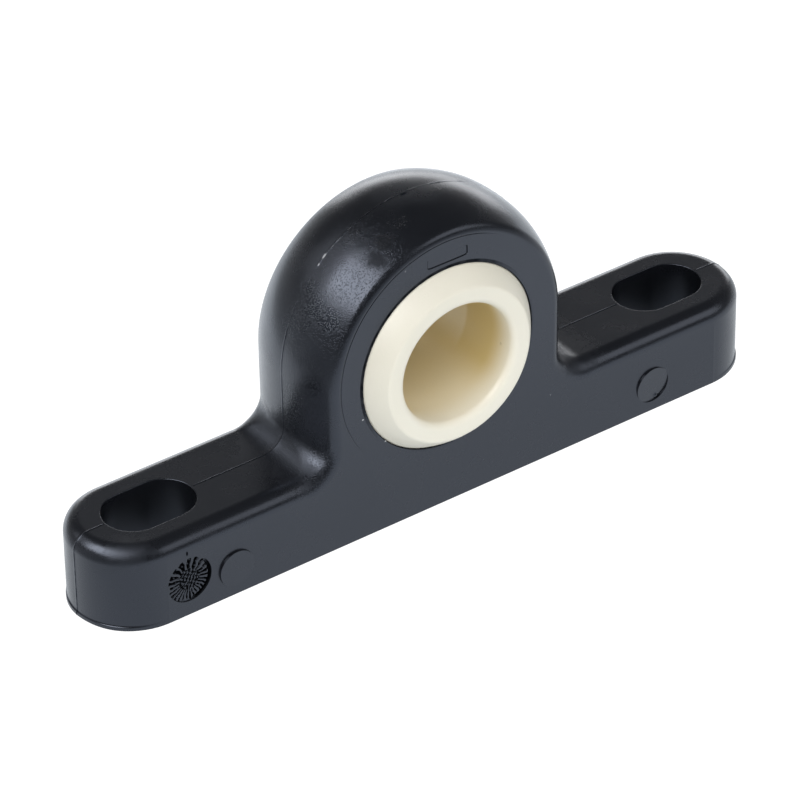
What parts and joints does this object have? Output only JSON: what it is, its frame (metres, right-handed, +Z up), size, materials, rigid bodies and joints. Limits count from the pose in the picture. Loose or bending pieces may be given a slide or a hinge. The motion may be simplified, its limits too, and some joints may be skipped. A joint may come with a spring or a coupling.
{
  "type": "pillow block bearing",
  "caption": "Self-aligning pillow block: a black moulded housing with slotted legs and a crowned dome holds a cream spherical ball, bored for a shaft.",
  "frame": {"origin": "middle of the mounting face, below the centre of the ball", "axes": "+X along the legs, +Y along the shaft, +Z up from the mounting face"},
  "size_m": [0.1222, 0.026, 0.0506],
  "materials": {
    "housing_polymer": "satin black glass-filled polymer, as moulded",
    "ball_polymer": "smooth cream bearing polymer, as moulded"
  },
  "bodies": {
    "housing": {"housing": "housing_polymer"},
    "ball": {"spherical_ball": "ball_polymer"}
  },
  "joints": [
    {"name": "ball_tilt", "type": "hinge", "parent": "housing", "child": "ball", "pos_m": [0, 0, 0.02635], "axis": [0, 0, 1], "range_deg": [-20, 20]}
  ]
}
